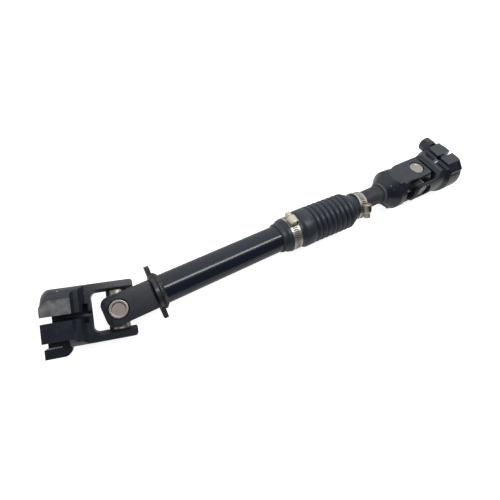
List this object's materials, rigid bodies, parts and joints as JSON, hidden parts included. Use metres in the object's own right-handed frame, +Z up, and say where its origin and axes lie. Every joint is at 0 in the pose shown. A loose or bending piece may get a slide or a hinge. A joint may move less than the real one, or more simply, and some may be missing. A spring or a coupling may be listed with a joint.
{
  "type": "intermediate steering shaft",
  "caption": "Telescoping steering shaft: universal joint and clamp yoke at each end, sliding splined shaft under a ribbed rubber boot held by worm-drive clamps.",
  "frame": {"origin": "centre of the gear clamp's mouth, on the shaft's axis", "axes": "+X along the shaft from the column end to the gear end, +Z up as the shaft lies"},
  "size_m": [0.4456, 0.061, 0.0495],
  "materials": {
    "black_forging": "satin",
    "tube_paint": "gloss",
    "bare_forging": "rough",
    "cup_steel": "satin",
    "zinc_steel": "satin",
    "weld_metal": "rough",
    "boot_rubber": "matte",
    "seal_rubber": "matte",
    "nylon": "matte",
    "collar_plastic": "matte",
    "bolt_coating": "satin"
  },
  "bodies": {
    "outer_tube_body": {"outer_tube": "tube_paint", "tube_yoke": "black_forging", "tube_cup_near": "cup_steel", "tube_cup_far": "cup_steel", "stop_plate": "black_forging", "tube_weld": "weld_metal", "slide_bushing": "nylon", "dust_boot": "boot_rubber", "large_clamp_band": "zinc_steel", "large_clamp_housing": "zinc_steel", "large_clamp_screw": "zinc_steel"},
    "column_cross_body": {"column_cross": "bare_forging", "column_seals": "seal_rubber"},
    "column_clamp_body": {"column_yoke": "black_forging", "column_cup_upper": "cup_steel", "column_cup_lower": "cup_steel"},
    "sliding_shaft_body": {"inner_shaft": "black_forging", "shaft_yoke": "black_forging", "swage_ring": "bare_forging", "boot_collar": "collar_plastic", "small_clamp_band": "zinc_steel", "small_clamp_housing": "zinc_steel", "small_clamp_screw": "zinc_steel", "shaft_cup_upper": "cup_steel", "shaft_cup_lower": "cup_steel"},
    "gear_cross_body": {"gear_cross": "bare_forging", "gear_seals": "seal_rubber"},
    "gear_clamp_body": {"gear_yoke": "black_forging", "pinch_bolt": "bolt_coating", "bolt_washer": "bolt_coating", "gear_cup_near": "cup_steel", "gear_cup_far": "cup_steel"}
  },
  "joints": [
    {"name": "telescope", "type": "slide", "parent": "outer_tube_body", "child": "sliding_shaft_body", "axis": [1, 0, 0], "range_m": [-0.02, 0.024], "deforming": ["dust_boot"]},
    {"name": "tube_pins", "type": "hinge", "parent": "outer_tube_body", "child": "column_cross_body", "pos_m": [-0.3856, 0, 0], "axis": [0, -0.2571, 0.9664], "range_deg": [-6.3, 37.7]},
    {"name": "column_pins", "type": "hinge", "parent": "column_cross_body", "child": "column_clamp_body", "pos_m": [-0.3856, 0, 0], "axis": [0.2706, 0.9303, 0.2475], "range_deg": [-22, 22]},
    {"name": "shaft_pins", "type": "hinge", "parent": "sliding_shaft_body", "child": "gear_cross_body", "pos_m": [-0.0544, 0, 0], "axis": [0, 0.2756, 0.9613], "range_deg": [-22, 22]},
    {"name": "gear_pins", "type": "hinge", "parent": "gear_cross_body", "child": "gear_clamp_body", "pos_m": [-0.0544, 0, 0], "axis": [0, -0.9613, 0.2756], "range_deg": [-22, 22]}
  ]
}
